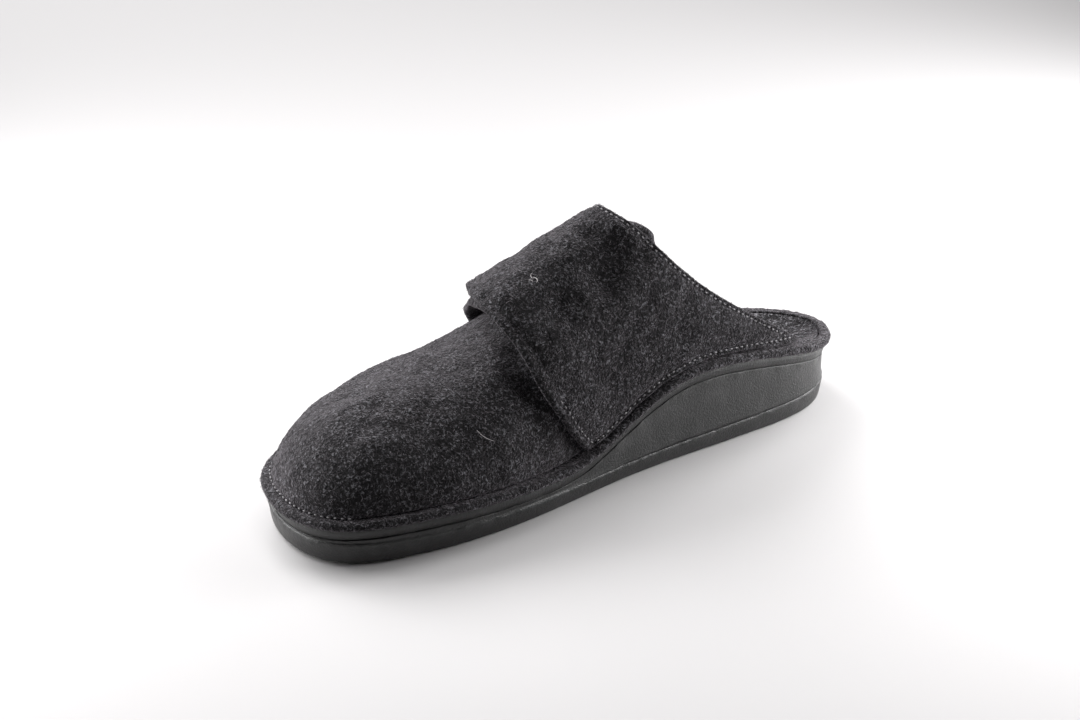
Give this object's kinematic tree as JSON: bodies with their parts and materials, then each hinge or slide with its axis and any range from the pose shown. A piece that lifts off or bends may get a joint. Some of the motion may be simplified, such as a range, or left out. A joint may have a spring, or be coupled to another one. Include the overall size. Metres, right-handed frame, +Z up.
{
  "type": "felt house slipper",
  "caption": "Backless felt house slipper for the right foot, with a broad closing strap over the instep, a felt footbed and a moulded wedge sole.",
  "frame": {"origin": "middle of the shoe's box on the plane that its sole stands on", "axes": "+X from heel to toe, +Y to the wearer's left, which is this right shoe's inner side, +Z up"},
  "size_m": [0.2946, 0.1092, 0.1159],
  "materials": {
    "felt": "napped charcoal wool felt",
    "footbed_felt": "pressed charcoal felt",
    "sole_foam": "satin black with a fine moulded grain",
    "sole_rubber": "satin black"
  },
  "bodies": {
    "root": {"outsole": "sole_rubber", "midsole": "sole_foam", "footbed": "footbed_felt", "rand": "felt", "upper": "felt", "closing_panel": "felt", "strap": "felt"}
  },
  "joints": []
}
